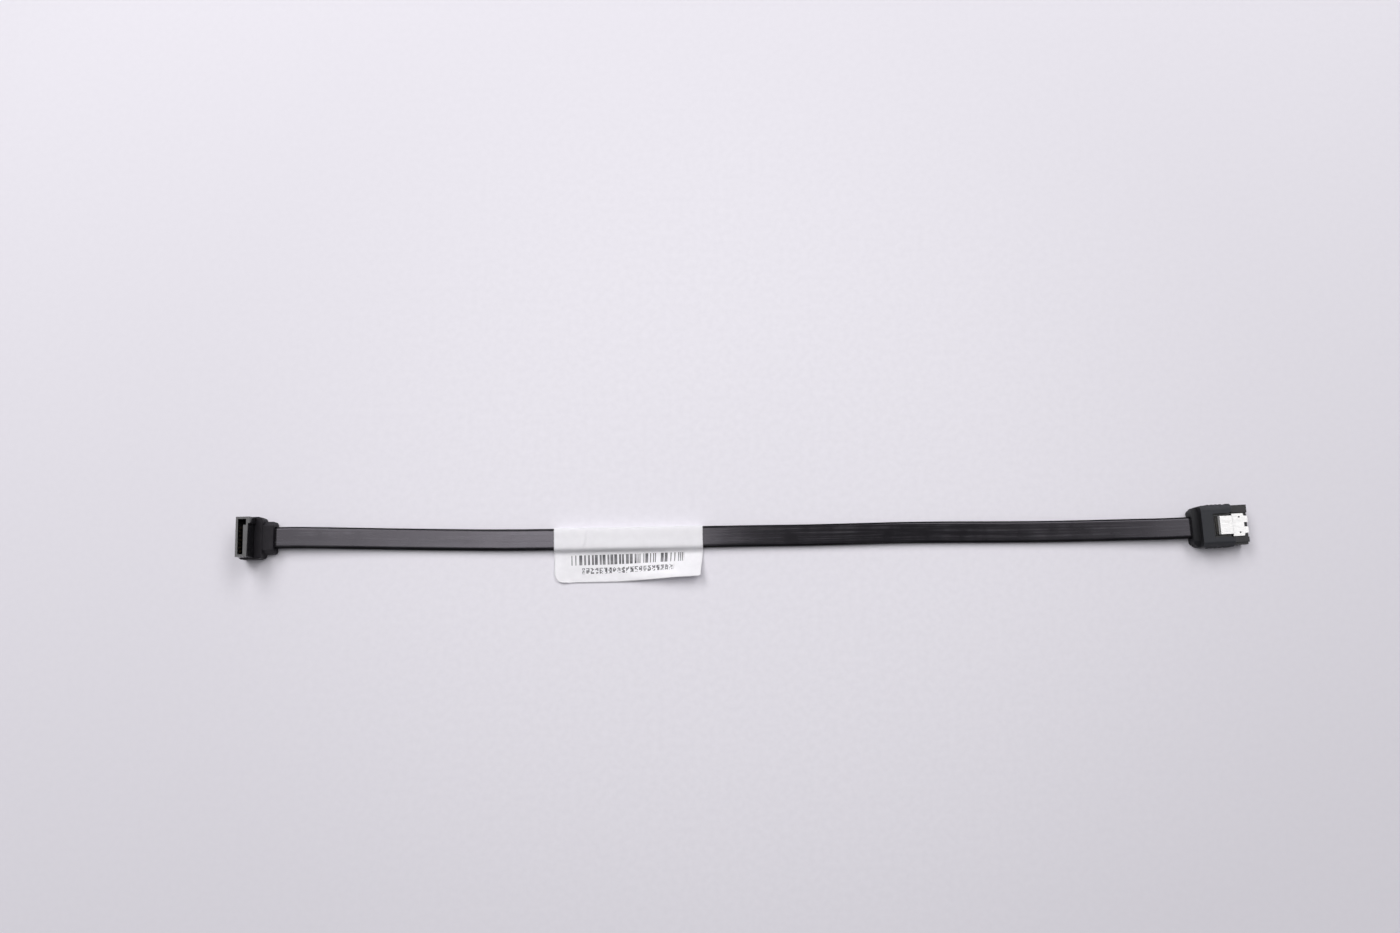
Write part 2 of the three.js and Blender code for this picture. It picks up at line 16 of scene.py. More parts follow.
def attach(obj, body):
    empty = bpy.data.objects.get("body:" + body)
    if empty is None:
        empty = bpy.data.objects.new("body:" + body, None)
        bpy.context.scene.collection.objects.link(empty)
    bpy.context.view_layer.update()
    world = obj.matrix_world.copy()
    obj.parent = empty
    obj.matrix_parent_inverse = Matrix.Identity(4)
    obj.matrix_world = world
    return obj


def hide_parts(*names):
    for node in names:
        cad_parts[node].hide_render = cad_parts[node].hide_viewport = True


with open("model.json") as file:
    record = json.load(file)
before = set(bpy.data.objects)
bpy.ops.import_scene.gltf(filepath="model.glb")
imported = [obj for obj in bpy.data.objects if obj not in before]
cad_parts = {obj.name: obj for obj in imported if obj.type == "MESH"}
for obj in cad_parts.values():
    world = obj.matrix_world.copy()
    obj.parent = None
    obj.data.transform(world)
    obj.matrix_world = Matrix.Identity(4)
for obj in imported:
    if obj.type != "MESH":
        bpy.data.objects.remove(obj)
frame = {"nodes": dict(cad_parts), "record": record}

MM = 0.001
nodes = frame["nodes"]
scene = bpy.context.scene
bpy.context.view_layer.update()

# %% [markdown]
# The photo looks down on the cable from nearly overhead: the camera stands a little to the near side
# and leans 8 degrees away from it. A camera could be aimed at the object's middle, but the picture
# leaves more table on one side of it than on the other. So the camera is placed by measure instead,
# from where the two connectors come in the picture.

# %% Camera
CAMERA_PLACE = Vector((-14.4, -31.2, 379.0)) * MM
CAMERA_LEAN = math.radians(8)
CAMERA_LENS = 29.57

camera = bpy.data.objects.new("camera", bpy.data.cameras.new("camera"))
camera.location = CAMERA_PLACE
camera.rotation_euler = (CAMERA_LEAN, 0, 0)
camera.data.lens = CAMERA_LENS
camera.data.clip_start = 0.01
scene.collection.objects.link(camera)
scene.camera = camera
print("camera height:", round(camera.location.z, 3))

# %% [markdown]
# A material is built from nodes, and most steps are the same few moves: add a node, set its values,
# link what comes from another node. One helper does that, so each finish below reads as a recipe.
# Patterns are measured in metres, so a noise scale of 5000 has grains of about 0.2 mm.

# %% Helpers for materials
def new_material(name, color, roughness, metallic=0.0):
    """A material with one Principled shader, whose plain values are set on its own sockets."""
    material = bpy.data.materials.new(name)
    material.use_nodes = True
    shader = material.node_tree.nodes["Principled BSDF"]
    shader.inputs["Base Color"].default_value = (*color, 1)
    shader.inputs["Roughness"].default_value = roughness
    shader.inputs["Metallic"].default_value = metallic
    return material, shader


def add(material, kind, inputs, **settings):
    """Adds a node. A value goes on the named socket, and another node's output is linked to it."""
    node = material.node_tree.nodes.new(kind)
    for name, value in settings.items():
        setattr(node, name, value)
    for name, value in inputs.items():
        if isinstance(value, bpy.types.NodeSocket):
            material.node_tree.links.new(value, node.inputs[name])
        else:
            node.inputs[name].default_value = value
    return node.outputs


def link(material, output, shader, socket):
    """Joins a node's output to a named socket of the shader."""
    material.node_tree.links.new(output, shader.inputs[socket])


def calc(material, operation, *values):
    """One arithmetic step on numbers or outputs."""
    return add(material, "ShaderNodeMath", dict(enumerate(values)), operation=operation)[0]


# %% Helpers for patterns
NOISE_MIDDLE = (0.3, 0.7)


def place_on_object(material, scale=(1, 1, 1), turn=0.0):
    """Object coordinates, stretched and turned about the vertical."""
    coordinates = add(material, "ShaderNodeTexCoord", {})["Object"]
    inputs = {"Vector": coordinates, "Scale": scale, "Rotation": (0, 0, turn)}
    return add(material, "ShaderNodeMapping", inputs)["Vector"]


def noise_of(material, vector, scale, detail=2.0, low=0.0, high=1.0):
    """Smooth noise, spread from its middle values to the range from low to high."""
    inputs = {"Vector": vector, "Scale": scale, "Detail": detail}
    value = add(material, "ShaderNodeTexNoise", inputs)[0]
    return spread(material, value, NOISE_MIDDLE, (low, high))


def spread(material, value, before, after=(0.0, 1.0), **settings):
    """Stretches a value from one range to another, and keeps it inside the second."""
    inputs = {
        "Value": value, "From Min": before[0], "From Max": before[1],
        "To Min": after[0], "To Max": after[1],
    }
    return add(material, "ShaderNodeMapRange", inputs, **settings)[0]


def mix_colors(material, share, first, second):
    """The first colour at a share of 0, and the second at 1. Sockets 6 and 7 take colours."""
    inputs = {0: share, 6: first, 7: second}
    return add(material, "ShaderNodeMix", inputs, data_type="RGBA")[2]


def bump(material, shader, height, distance, strength=1.0):
    """Roughens the shading by a height field whose full range is distance metres."""
    inputs = {"Height": height, "Distance": distance, "Strength": strength}
    link(material, add(material, "ShaderNodeBump", inputs)["Normal"], shader, "Normal")


# %% [markdown]
# The jacket is extruded vinyl: almost black and satin, with faint lines along it from the die, a few
# dull smudges from handling and some long thin scuffs. A plain noise would look cast. Noise stretched
# fifty times along the cable's own UV map gives the lines and the scuffs, and it follows the cable
# round its bends. The flats mirror the lamps and the round sides stay dull, which draws a dark outline,
# so the shine depends on how squarely the surface faces up or down.

# %% Jacket material
JACKET_COLOR = (0.009, 0.0085, 0.010)
SMUDGE_COLOR = (0.013, 0.012, 0.0145, 1)
SCUFF_COLOR = (0.05, 0.048, 0.053, 1)
SHINE_TINT = (0.95, 0.9, 1, 1)
ALONG_STRETCH = (0.02, 1, 1)
UPRIGHT_FROM_SIDE_TO_FLAT = (0.88, 0.997)
SHINE_FROM_SIDE_TO_FLAT = (0.02, 0.57)


def shine_of_flats(material):
    """Strong where the surface faces straight up or down, and almost none on the round sides."""
    facing = add(material, "ShaderNodeTexCoord", {})["Normal"]
    upright = calc(material, "ABSOLUTE", add(material, "ShaderNodeSeparateXYZ", {0: facing})["Z"])
    return spread(material, upright, UPRIGHT_FROM_SIDE_TO_FLAT, SHINE_FROM_SIDE_TO_FLAT)


def jacket_vinyl():
    material, shader = new_material("jacket_vinyl", JACKET_COLOR, 0.3)
    shader.inputs["Specular Tint"].default_value = SHINE_TINT
    link(material, shine_of_flats(material), shader, "Specular IOR Level")
    along_and_round = add(material, "ShaderNodeUVMap", {}, uv_map="along_and_round")["UV"]
    stretched = {"Vector": along_and_round, "Scale": ALONG_STRETCH}
    drawn = add(material, "ShaderNodeMapping", stretched)["Vector"]
    die_lines = noise_of(material, drawn, 2600, 2)
    wide_lines = noise_of(material, drawn, 700, 1)
    smudges = noise_of(material, along_and_round, 160, 3)
    grain = noise_of(material, along_and_round, 7000, 2)
    dull = calc(material, "MULTIPLY_ADD", smudges, 0.06, 0.12)
    link(material, calc(material, "MULTIPLY_ADD", wide_lines, 0.04, dull), shader, "Roughness")
    lines = calc(material, "ADD", die_lines, calc(material, "MULTIPLY", wide_lines, 1.5))
    height = calc(material, "MULTIPLY_ADD", grain, 0.35, lines)
    bump(material, shader, height, 0.0012 * MM)
    handled = calc(material, "MULTIPLY", smudges, 0.4)
    clean = mix_colors(material, handled, (*JACKET_COLOR, 1), SMUDGE_COLOR)
    streaks = calc(material, "MAXIMUM", noise_of(material, drawn, 1400, 2, -0.8, 1.0), 0.0)
    scuffs = calc(material, "MULTIPLY", streaks, smudges)
    link(material, mix_colors(material, scuffs, clean, SCUFF_COLOR), shader, "Base Color")
    return material


jacket_material = jacket_vinyl()
print("jacket nodes:", len(jacket_material.node_tree.nodes))

# %% [markdown]
# The route is a list of points along the middle of the cable, the same one that the solid model
# follows. A smooth spline goes through them. The centripetal kind is used, because it neither loops nor
# overshoots where close points follow distant ones.

# %% Route
RING_STEP = 1.0 * MM
ROUTE = [
    (-155.999, -2.018, 2.4), (-153.4, -1.95, 2.4), (-148.4, -1.84, 2.33), (-140.0, -1.86, 2.05),
    (-128.0, -2.02, 1.6), (-113.0, -2.24, 1.25), (-97.0, -2.44, 1.12), (-80.0, -2.54, 1.2),
    (-64.0, -2.42, 1.3), (-38.0, -1.92, 1.3), (-12.0, -1.42, 1.3), (4.0, -1.13, 1.2),
    (20.0, -0.9, 1.1), (36.0, -0.5, 1.06), (52.0, -0.08, 1.06), (68.0, 0.1, 1.06),
    (84.0, 0.15, 1.06), (100.0, 0.28, 1.14), (114.0, 0.54, 1.42), (127.0, 0.82, 1.85),
    (138.0, 1.06, 2.25), (146.4, 1.42, 2.4), (148.697, 1.54, 2.4),
]


def spline_through(points, step):
    """Points about a step apart on a smooth curve through the given ones."""
    ends = [2 * points[0] - points[1], *points, 2 * points[-1] - points[-2]]
    line = []
    for before, start, end, after in zip(ends, ends[1:], ends[2:], ends[3:]):
        a = (start - before).length ** 0.5
        b = (end - start).length ** 0.5
        c = (after - end).length ** 0.5
        leave = b * ((start - before) / a - (end - before) / (a + b) + (end - start) / b)
        arrive = b * ((end - start) / b - (after - start) / (b + c) + (after - end) / c)
        parts = max(2, round((end - start).length / step))
        for i in range(parts):
            t = i / parts
            bend = (2 * t**3 - 3 * t**2 + 1) * start + (3 * t**2 - 2 * t**3) * end
            line.append(bend + (t**3 - 2 * t**2 + t) * leave + (t**3 - t**2) * arrive)
    line.append(points[-1])
    return line


def running_length(line):
    """How far along the line each of its points lies."""
    lengths = [0.0]
    for start, end in zip(line, line[1:]):
        lengths.append(lengths[-1] + (end - start).length)
    return lengths


cable_line = spline_through([Vector(point) * MM for point in ROUTE], RING_STEP)
cable_lengths = running_length(cable_line)
print("route:", len(cable_line), "points,", round(cable_lengths[-1] / MM, 1), "mm")

# %% [markdown]
# The jacket is wide and thin, with a flat top and round sides. A curve with a bevel shape could make
# it, but its UVs and its fine relief are easier on a mesh. So the section is drawn once, its corners
# are rounded by a vertex bevel, and it is extruded ring by ring, each ring turned to the route.

# %% Section of the jacket
CABLE_WIDE = 7.1 * MM
CABLE_THICK = 2.0 * MM
CABLE_CORNER = 0.94 * MM
CORNER_STEPS = 7
FLAT_CUTS = 11


def section_ring(bm):
    """The outline of the jacket, drawn in Y and Z, as a ring of edges."""
    half_wide = CABLE_WIDE / 2
    half_thick = CABLE_THICK / 2
    corners = [
        (-half_wide, -half_thick), (half_wide, -half_thick),
        (half_wide, half_thick), (-half_wide, half_thick),
    ]
    face = bm.faces.new([bm.verts.new((0, y, z)) for y, z in corners])
    bmesh.ops.bevel(
        bm, geom=face.verts[:], offset=CABLE_CORNER, segments=CORNER_STEPS, profile=0.5,
        affect="VERTICES", material=-1,
    )
    bmesh.ops.delete(bm, geom=bm.faces[:], context="FACES_ONLY")
    flats = [edge for edge in bm.edges if edge.calc_length() > CABLE_CORNER]
    bmesh.ops.subdivide_edges(bm, edges=flats, cuts=FLAT_CUTS)
    return bm.edges[:]


def ring_order(edges):
    """The ring's vertices one after another, starting under the middle of the section."""
    first = min(edges, key=lambda edge: edge.verts[0].co.z * 10 + abs(edge.verts[0].co.y)).verts[0]
    order = [first]
    edge = first.link_edges[0]
    while True:
        vert = edge.other_vert(order[-1])
        if vert is first:
            return order
        order.append(vert)
        edge = next(other for other in vert.link_edges if other is not edge)


print("jacket section:", round(CABLE_WIDE / MM, 1), "by", round(CABLE_THICK / MM, 1), "mm")


# %% Sweep along the route
def frame_at(line, i):
    """Where ring i stands: X runs along the cable, Y across it and Z up out of its flat top."""
    ahead = (line[min(i + 1, len(line) - 1)] - line[max(i - 1, 0)]).normalized()
    across = Vector((0, 0, 1)).cross(ahead).normalized()
    up = ahead.cross(across)
    turn = Matrix((ahead, across, up)).transposed().to_4x4()
    return Matrix.Translation(line[i]) @ turn


def swept_jacket(line, lengths):
    """The closed jacket. Each vertex remembers how far along and how far round it lies."""
    bm = bmesh.new()
    along = bm.verts.layers.float.new("along")
    round_way = bm.verts.layers.float.new("round")
    ring = section_ring(bm)
    order = ring_order(ring)
    way = 0.0
    for vert, following in zip(order, order[1:] + order[:1]):
        vert[round_way] = way
        way += (following.co - vert.co).length
    stand = frame_at(line, 0)
    bmesh.ops.transform(bm, matrix=stand, verts=bm.verts)
    bmesh.ops.contextual_create(bm, geom=ring)
    for i in range(1, len(line)):
        made = bmesh.ops.extrude_edge_only(bm, edges=ring)["geom"]
        verts = [item for item in made if isinstance(item, bmesh.types.BMVert)]
        ring = [item for item in made if isinstance(item, bmesh.types.BMEdge) and item.is_boundary]
        following = frame_at(line, i)
        bmesh.ops.transform(bm, matrix=following @ stand.inverted(), verts=verts)
        for vert in verts:
            vert[along] = lengths[i]
        stand = following
    bmesh.ops.contextual_create(bm, geom=ring)
    bmesh.ops.recalc_face_normals(bm, faces=bm.faces)
    return bm, along, round_way, way


# %% UV map and relief of the jacket
RELIEF_HIGH = 0.007 * MM
RIDGES_PER_METRE = (45, 900)
SWELLS_PER_METRE = (22, 260)


def unwrap_jacket(bm, along, round_way, whole_way):
    """U runs along the cable and V round it, in metres. The last strip ends at the whole way round."""
    uv = bm.loops.layers.uv.new("along_and_round")
    for face in bm.faces:
        is_last_strip = max(vert[round_way] for vert in face.verts) > whole_way * 0.75
        for loop in face.loops:
            v = loop.vert[round_way]
            loop[uv].uv = (loop.vert[along], whole_way if is_last_strip and v == 0 else v)


def draw_relief(bm, along, round_way):
    """Faint long ridges and wider swells, which break up the reflection of the lamps."""
    for vert in bm.verts:
        ridge = Vector((vert[along] * RIDGES_PER_METRE[0], vert[round_way] * RIDGES_PER_METRE[1], 0))
        swell = Vector((vert[along] * SWELLS_PER_METRE[0], vert[round_way] * SWELLS_PER_METRE[1], 5))
        vert.co.z += RELIEF_HIGH * (noise.noise(ridge) * 0.5 + noise.noise(swell))


# %% Cable
def add_piece(name, bm, material, body, slot, *replaced):
    """A mesh becomes a piece: it gets its material, its body and the nodes that it stands for."""
    mesh = bpy.data.meshes.new(name)
    bm.to_mesh(mesh)
    bm.free()
    mesh.materials.append(material)
    piece = bpy.data.objects.new(name, mesh)
    scene.collection.objects.link(piece)
    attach(piece, body)
    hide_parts(*replaced)
    print(name + ":", len(mesh.polygons), "faces")
    return piece


jacket_bm, jacket_along, jacket_round, jacket_way = swept_jacket(cable_line, cable_lengths)
unwrap_jacket(jacket_bm, jacket_along, jacket_round, jacket_way)
draw_relief(jacket_bm, jacket_along, jacket_round)
for face in jacket_bm.faces:
    face.smooth = len(face.verts) == 4
jacket = add_piece("cable_jacket", jacket_bm, jacket_material, "cable_body", "jacket", "flat_cable")
print("way round the jacket:", round(jacket_way / MM, 2), "mm")

# %% [markdown]
# The label is a strip of white film with a semi-gloss coat. It is printed with a run of upright bars
# and, under them, a row of small marks. The print here is generic: a hash of each module's number
# makes it black or leaves it white, and the marks are little blocks that spell nothing. Both are
# drawn on the flat film's own UV map, in metres along it and across it.

# %% Helpers for print
def within(material, value, limits):
    """1 where the value lies between the two limits, and 0 elsewhere."""
    middle = (limits[0] + limits[1]) / 2
    return calc(material, "COMPARE", value, middle, (limits[1] - limits[0]) / 2)


def hashed(material, *parts):
    """A number from 0 to 1 that stays the same for the same whole numbers."""
    vector = add(material, "ShaderNodeCombineXYZ", dict(enumerate(parts)))[0]
    return add(material, "ShaderNodeTexWhiteNoise", {"Vector": vector}, noise_dimensions="3D")["Value"]


def cell(material, value, size):
    """The whole number of the cell, this wide, that the value lies in."""
    return calc(material, "FLOOR", calc(material, "DIVIDE", value, size))


# %% Printed bars
BARS_ALONG = (4.9 * MM, 42.6 * MM)
BARS_ACROSS = (6.25 * MM, 9.5 * MM)
BAR_MODULE = 0.32 * MM
WHITE_MODULES = 0.3
MODULES_TO_A_GAP = 4.0


def printed_bars(material, along, across):
    """Every fourth module stays white, so no bar is wider than three."""
    number = cell(material, along, BAR_MODULE)
    dark = calc(material, "GREATER_THAN", hashed(material, number, 3.0), WHITE_MODULES)
    place = calc(material, "FLOORED_MODULO", number, MODULES_TO_A_GAP)
    dark = calc(material, "MULTIPLY", dark, calc(material, "GREATER_THAN", place, 0.5))
    area = [within(material, along, BARS_ALONG), within(material, across, BARS_ACROSS)]
    return calc(material, "MULTIPLY", dark, calc(material, "MULTIPLY", *area))


print("room for bars:", int((BARS_ALONG[1] - BARS_ALONG[0]) / BAR_MODULE), "modules")

# %% Printed marks
MARKS_ALONG = (8.9 * MM, 39.5 * MM)
MARKS_ACROSS = (10.5 * MM, 12.4 * MM)
MARK_PITCH = 1.46 * MM
MARK_WIDE = 1.08 * MM
MARK_BLOCK = 0.36 * MM
WHITE_BLOCKS = 0.36


def printed_marks(material, along, across):
    """A row of marks, each of three columns of blocks that are black or white by a hash."""
    number = cell(material, along, MARK_PITCH)
    inside = calc(material, "SUBTRACT", along, calc(material, "MULTIPLY", number, MARK_PITCH))
    drawn = calc(material, "LESS_THAN", inside, MARK_WIDE)
    column = cell(material, inside, MARK_BLOCK)
    row = cell(material, across, MARK_BLOCK)
    block = hashed(material, calc(material, "MULTIPLY_ADD", number, 5.0, column), row)
    dark = calc(material, "MULTIPLY", calc(material, "GREATER_THAN", block, WHITE_BLOCKS), drawn)
    area = [within(material, along, MARKS_ALONG), within(material, across, MARKS_ACROSS)]
    return calc(material, "MULTIPLY", dark, calc(material, "MULTIPLY", *area))


print("room for marks:", int((MARKS_ALONG[1] - MARKS_ALONG[0]) / MARK_PITCH))

# %% [markdown]
# The ink has faded unevenly, and the film is mottled by the glue behind it. The black cable shows
# through a single layer a little, so the wrap is greyer than the doubled flag beside it.

# %% Label material
FILM_COLOR = (0.85, 0.845, 0.87, 1)
FLAG_COLOR = (0.93, 0.925, 0.95, 1)
GLUE_COLOR = (0.74, 0.735, 0.76, 1)
INK_COLOR = (0.03, 0.03, 0.035, 1)
PRINT_LEAN = math.radians(0.7)
WRAP_TO_FLAG = (3.6 * MM, 5.0 * MM)


def label_film():
    material, shader = new_material("label_film", FILM_COLOR[:3], 0.36)
    flat = add(material, "ShaderNodeUVMap", {}, uv_map="flat_film")["UV"]
    leaning = {"Vector": flat, "Rotation": (0, 0, PRINT_LEAN)}
    leaned = add(material, "ShaderNodeMapping", leaning)["Vector"]
    axes = add(material, "ShaderNodeSeparateXYZ", {0: leaned})
    bars = printed_bars(material, axes["X"], axes["Y"])
    marks = printed_marks(material, axes["X"], axes["Y"])
    ink = calc(material, "MAXIMUM", bars, marks)
    fading = noise_of(material, flat, 260, 3, 0.65, 1.0)
    mottle = noise_of(material, flat, 420, 3)
    doubled = spread(material, axes["Y"], WRAP_TO_FLAG)
    film = mix_colors(material, doubled, FILM_COLOR, FLAG_COLOR)
    clean = mix_colors(material, calc(material, "MULTIPLY", mottle, 0.3), film, GLUE_COLOR)
    printed = mix_colors(material, calc(material, "MULTIPLY", ink, fading), clean, INK_COLOR)
    link(material, printed, shader, "Base Color")
    gloss = calc(material, "MULTIPLY_ADD", mottle, 0.1, 0.3)
    link(material, calc(material, "MULTIPLY_ADD", ink, 0.15, gloss), shader, "Roughness")
    bump(material, shader, noise_of(material, flat, 900, 3), 0.006 * MM)
    return material


label_material = label_film()
print("label nodes:", len(label_material.node_tree.nodes))

# %% [markdown]
# The real label is cut flat, wrapped once round the cable and stuck to itself, so that its two ends
# make a double flag beside the cable. Cloth simulation would do, but film hardly stretches, so its
# shape is known: a flat grid is folded round a drawn section, and only the wrinkles are worked in.
# The flag's free corner has curled up from the table.

# %% Section and place of the label
LABEL_START = -62.3
FLAG_REACH = 14.2
FILM_TOP = 1.13
LABEL_SECTION = [
    (-FLAG_REACH, -0.93), (-11.0, -0.9), (-8.0, -0.84), (-6.0, -0.76), (-4.9, -0.66), (-4.3, -0.42),
    (-3.95, 0.1), (-3.6, 0.72), (-3.1, 1.06), (-2.4, FILM_TOP), (0.0, FILM_TOP), (2.4, FILM_TOP),
    (3.2, 0.98), (3.55, 0.6), (3.68, 0.0), (3.55, -0.6), (3.2, -0.98), (2.4, -FILM_TOP),
    (0.0, -FILM_TOP), (-2.4, -FILM_TOP), (-3.3, -1.1), (-4.3, -0.98), (-4.9, -0.9), (-6.0, -0.93),
    (-8.0, -1.02), (-11.0, -1.08), (-FLAG_REACH, -1.11),
]
label_turn = math.atan2(ROUTE[10][1] - ROUTE[8][1], ROUTE[10][0] - ROUTE[8][0])
label_start_y = ROUTE[8][1] + (LABEL_START - ROUTE[8][0]) * math.tan(label_turn)
label_spot = Vector((LABEL_START, label_start_y, 0)) * MM
label_place = Matrix.Translation(label_spot) @ Matrix.Rotation(label_turn, 4, "Z")
print("label turned by", round(math.degrees(label_turn), 2), "degrees to lie along the cable")

# %% Wrinkles and corners
NEAR_CORNER = (2.7 * MM, 3.4 * MM)
FAR_CORNER = (0.8 * MM, 0.9 * MM)
WRINKLE_COUNT = 10
SWELL_HIGH = 0.05 * MM

label_random = random.Random(11)
wrinkles = [
    (
        label_random.uniform(4, 17) * MM,
        label_random.uniform(0.25, 0.6) * MM,
        label_random.uniform(-0.05, 0.07) * MM,
    )
    for _ in range(WRINKLE_COUNT)
]
print("highest wrinkle:", round(max(high for place, wide, high in wrinkles) / MM, 3), "mm")


def smooth_step(value):
    """Rises from 0 to 1 and levels off at both ends."""
    share = min(1.0, max(0.0, value))
    return share * share * (3 - 2 * share)


def corner_inset(size, from_edge):
    """How far a rounded corner cuts in, this far from the flag's edge."""
    wide, deep = size
    if from_edge >= deep:
        return 0.0
    return wide * (1 - math.sqrt(1 - (1 - from_edge / deep) ** 2))


def wrinkle_height(along, across):
    """Small ridges where the film was pulled round the cable, and a slow swell along it."""
    height = 0.0
    for place, wide, high in wrinkles:
        offset = (along - place - across * 0.15) / wide
        height += high * math.exp(-offset * offset)
    swell = noise.noise(Vector((along * 130, across * 160, 3.0))) * SWELL_HIGH
    return height * smooth_step((across + 4 * MM) / (2 * MM)) + swell


# %% Folding of the film
LABEL_LENGTH = 48.8 * MM
LABEL_MIDDLE = 1.3 * MM
LABEL_CELLS = (150, 130)
SECTION_STEP = 0.2 * MM
FLAG_CREASE = -4.35 * MM
CURL_HIGH = 3.2 * MM
CURL_FROM = 0.35
CURL_SHORTER = 0.13
CURL_PULL = 0.9 * MM
NEAR_LIFT = 0.35 * MM
NEAR_END = 0.1


def section_point(line, lengths, way):
    """The point that lies this far along the section."""
    i = next((i for i, length in enumerate(lengths) if length >= way), len(lengths) - 1)
    i = max(i, 1)
    share = (way - lengths[i - 1]) / (lengths[i] - lengths[i - 1])
    return line[i - 1].lerp(line[i], min(1.0, share))


def folded_spot(line, lengths, along_share, way):
    """Where a spot of the flat film comes to lie, once the film is folded and its corner curls."""
    whole = lengths[-1]
    from_edge = min(way, whole - way)
    start = corner_inset(NEAR_CORNER, from_edge)
    end = LABEL_LENGTH - corner_inset(FAR_CORNER, from_edge)
    x = start + (end - start) * along_share
    point = section_point(line, lengths, way)
    on_flag = smooth_step((FLAG_CREASE - point.y) / (FLAG_REACH * MM + FLAG_CREASE))
    far = smooth_step((along_share - CURL_FROM) / (1 - CURL_FROM))
    near = smooth_step((NEAR_END - along_share) / NEAR_END)
    y = point.y
    if y < FLAG_CREASE:
        y = FLAG_CREASE + (y - FLAG_CREASE) * (1 - CURL_SHORTER * far)
        x -= CURL_PULL * far * on_flag
    z = point.z + (CURL_HIGH * far * on_flag ** 1.3 + NEAR_LIFT * on_flag * near)
    if way < whole / 2:
        z += wrinkle_height(x, point.y)
    return x, y, z + LABEL_MIDDLE


def folded_film():
    """A flat grid, unwrapped from the middle of the label's top and then folded."""
    line = spline_through([Vector((0, y, z)) * MM for y, z in LABEL_SECTION], SECTION_STEP)
    lengths = running_length(line)
    whole = lengths[-1]
    middle_way = min(zip(line, lengths), key=lambda item: abs(item[0].y) - item[0].z)[1]
    bm = bmesh.new()
    uv = bm.loops.layers.uv.new("flat_film")
    bmesh.ops.create_grid(bm, x_segments=LABEL_CELLS[0], y_segments=LABEL_CELLS[1], size=0.5)
    for face in bm.faces:
        face.smooth = True
        for loop in face.loops:
            share = loop.vert.co.y + 0.5
            loop[uv].uv = ((loop.vert.co.x + 0.5) * LABEL_LENGTH, middle_way - share * whole)
    for vert in bm.verts:
        vert.co = folded_spot(line, lengths, vert.co.x + 0.5, (vert.co.y + 0.5) * whole)
    print("film:", round(whole / MM, 1), "mm round, top middle at", round(middle_way / MM, 2))
    return bm


# %% Label and cord
LABEL_FILM = 0.08 * MM

label_bm = folded_film()
bmesh.ops.transform(label_bm, matrix=label_place, verts=label_bm.verts)
label = add_piece("wrapped_label", label_bm, label_material, "cable_body", "label_film", "wrap_label")
film = label.modifiers.new("film", "SOLIDIFY")
film.thickness = LABEL_FILM
film.offset = -1

# %% [markdown]
# The covers of both connectors are moulded soft vinyl: dull, dark, with a fine spark-eroded grain
# that catches a little light on the edges. The grain could be modelled, but at a tenth of a
# millimetre it belongs in the bump. A slower noise varies the gloss, as handled rubbery plastic does.
# The straight connector's cover is greyer than the other. A darker mix of it goes on its recess and
# strain relief as painted shade. The housings inside the covers are hard black plastic with a gloss.

# %% Cover and housing materials
COVER_SHINE = 0.22
HOUSING_COLOR = (0.008, 0.008, 0.0095)


def moulded_cover(name, color, lighter):
    """Soft vinyl, whose grain varies from the one colour to the lighter one."""
    material, shader = new_material(name, color, 0.55)
    shader.inputs["Specular IOR Level"].default_value = COVER_SHINE
    spot = place_on_object(material)
    grain = noise_of(material, spot, 9000, 3)
    patches = noise_of(material, spot, 350, 2)
    link(material, calc(material, "MULTIPLY_ADD", patches, 0.12, 0.48), shader, "Roughness")
    link(material, mix_colors(material, grain, (*color, 1), (*lighter, 1)), shader, "Base Color")
    bump(material, shader, calc(material, "MULTIPLY_ADD", patches, 0.6, grain), 0.012 * MM)
    return material


def glossy_housing(name, shine):
    """Hard black plastic. The shine is how much a flat face of it mirrors."""
    material, shader = new_material(name, HOUSING_COLOR, 0.2)
    shader.inputs["Specular IOR Level"].default_value = shine
    spot = place_on_object(material)
    flow = noise_of(material, spot, 600, 3)
    fine = noise_of(material, spot, 5000, 2)
    link(material, calc(material, "MULTIPLY_ADD", flow, 0.1, 0.15), shader, "Roughness")
    bump(material, shader, calc(material, "MULTIPLY_ADD", fine, 0.3, flow), 0.004 * MM)
    return material


straight_vinyl = moulded_cover("straight_vinyl", (0.034, 0.036, 0.041), (0.041, 0.043, 0.048))
# Painted shade: a darker copy of the straight cover's vinyl, for its recess and strain relief.
painted_shade_vinyl = moulded_cover("painted_shade_vinyl", (0.014, 0.0145, 0.0165), (0.018, 0.0185, 0.0205))
angled_vinyl = moulded_cover("angled_vinyl", (0.0105, 0.009, 0.0125), (0.014, 0.0125, 0.016))
straight_gloss = glossy_housing("straight_gloss", 0.4)
angled_gloss = glossy_housing("angled_gloss", 0.95)
print("cover and housing materials made")

# %% [markdown]
# The latch is stamped from bright spring steel, and the strip was rolled, so it has fine lines along
# its length. Noise stretched along the strip makes them, turned as the connector is. The contacts are
# gold plated, the ground wires are tinned, the signal wires have natural foamed insulation, and a
# milky inner mould holds their ends.

# %% Metals
STRAIGHT_TURN = math.radians(3)
ROLLED_STRETCH = (0.04, 1, 1)
STEEL_COLOR = (0.74, 0.74, 0.73)
BRIGHT_STEEL = (0.77, 0.77, 0.76, 1)
STAINED_STEEL = (0.7, 0.7, 0.69, 1)


